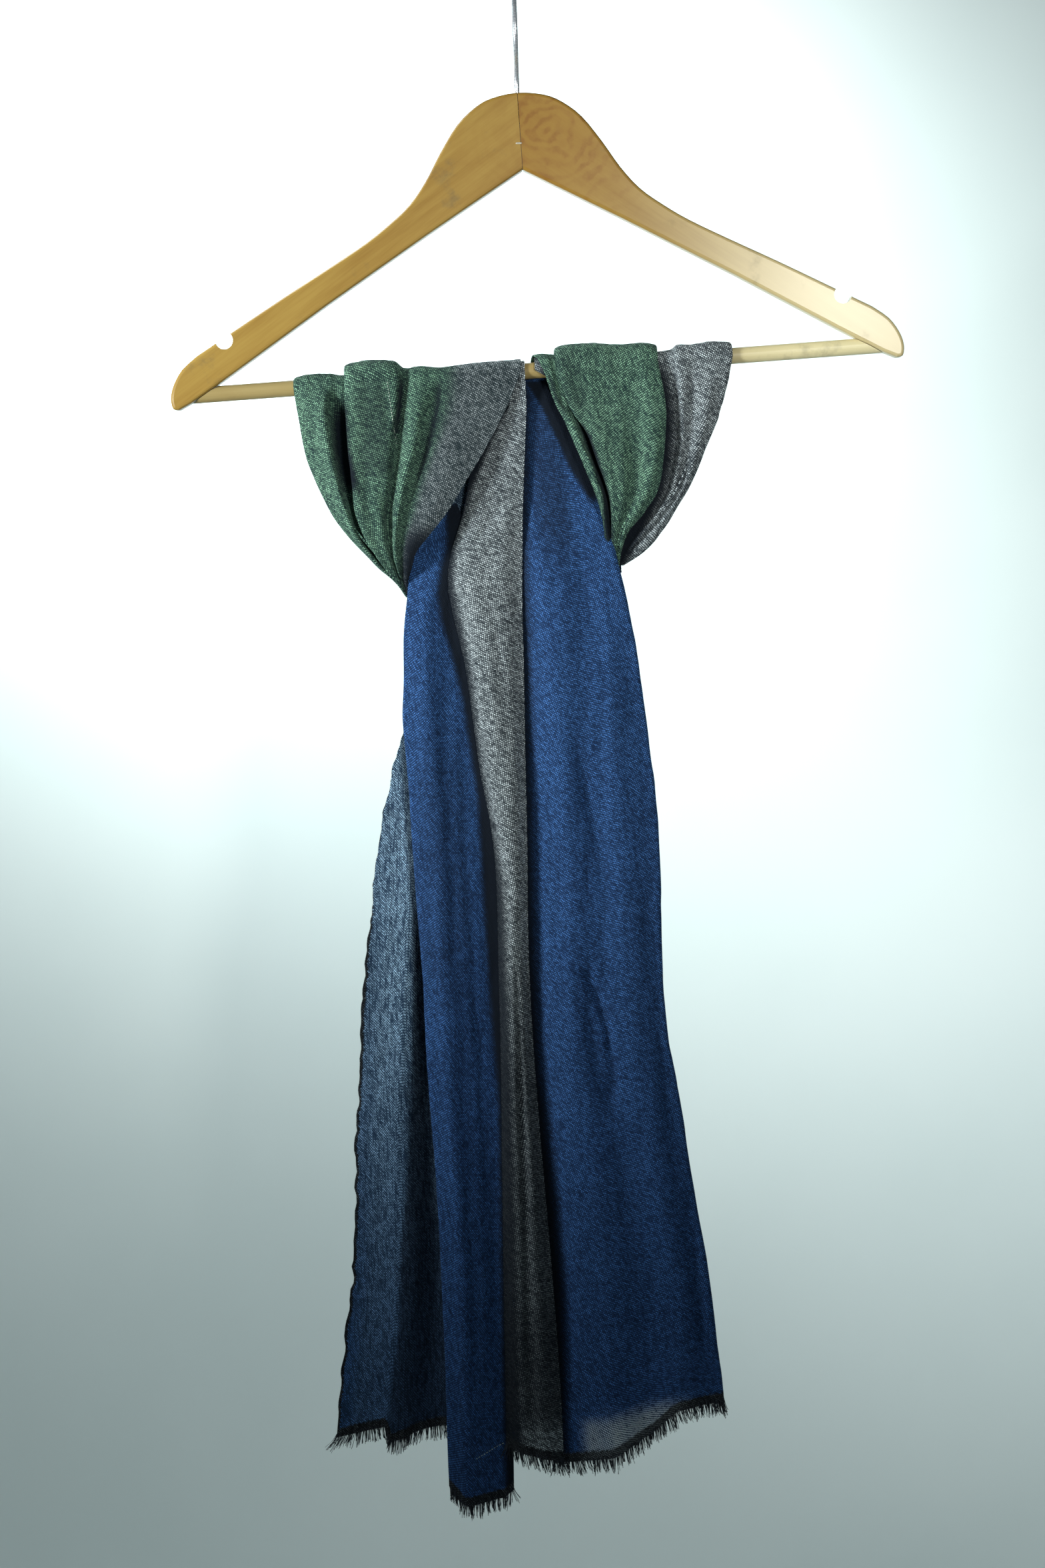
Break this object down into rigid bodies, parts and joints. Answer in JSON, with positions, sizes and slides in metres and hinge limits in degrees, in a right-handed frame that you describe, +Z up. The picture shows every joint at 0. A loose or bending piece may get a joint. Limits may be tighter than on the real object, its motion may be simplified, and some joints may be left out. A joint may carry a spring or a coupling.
{
  "type": "fringed scarf looped on a wooden hanger",
  "caption": "Long fringed woven scarf looped over the trouser bar of a wooden clothes hanger, two swags over the bar and gathered tails hanging through the loop.",
  "frame": {"origin": "inner top of the hook, where the rail it hangs from touches it", "axes": "+X along the hanger to the viewer's right, +Y away from the viewer, +Z up; the arms' faces look along Y"},
  "size_m": [0.4545, 0.0502, 0.9578],
  "materials": {
    "wood": "clear varnish, satin",
    "wire": "bright plated wire",
    "cloth_green": "two-tone slubby weave, green on dark",
    "cloth_grey": "two-tone slubby weave, pale grey on dark",
    "cloth_blue": "two-tone slubby weave, blue on navy",
    "cloth_reverse": "reverse of the weave, blue-grey with pale threads",
    "fringe": "loose black threads"
  },
  "bodies": {
    "root": {"hanger_arm_left": "wood", "hanger_arm_right": "wood", "hanger_bar": "wood", "hanger_hook": "wire", "scarf_swag_left": "cloth_green", "scarf_swag_right_front": "cloth_green", "scarf_swag_right_side": "cloth_grey", "scarf_tail_grey_fold": "cloth_grey", "scarf_tail_left_strip": "cloth_blue", "scarf_tail_right_panel": "cloth_blue", "scarf_tail_back": "cloth_reverse", "scarf_loop_behind": "cloth_blue", "fringe_grey_fold": "fringe", "fringe_left_strip": "fringe", "fringe_right_panel": "fringe", "fringe_back": "fringe"}
  },
  "joints": []
}
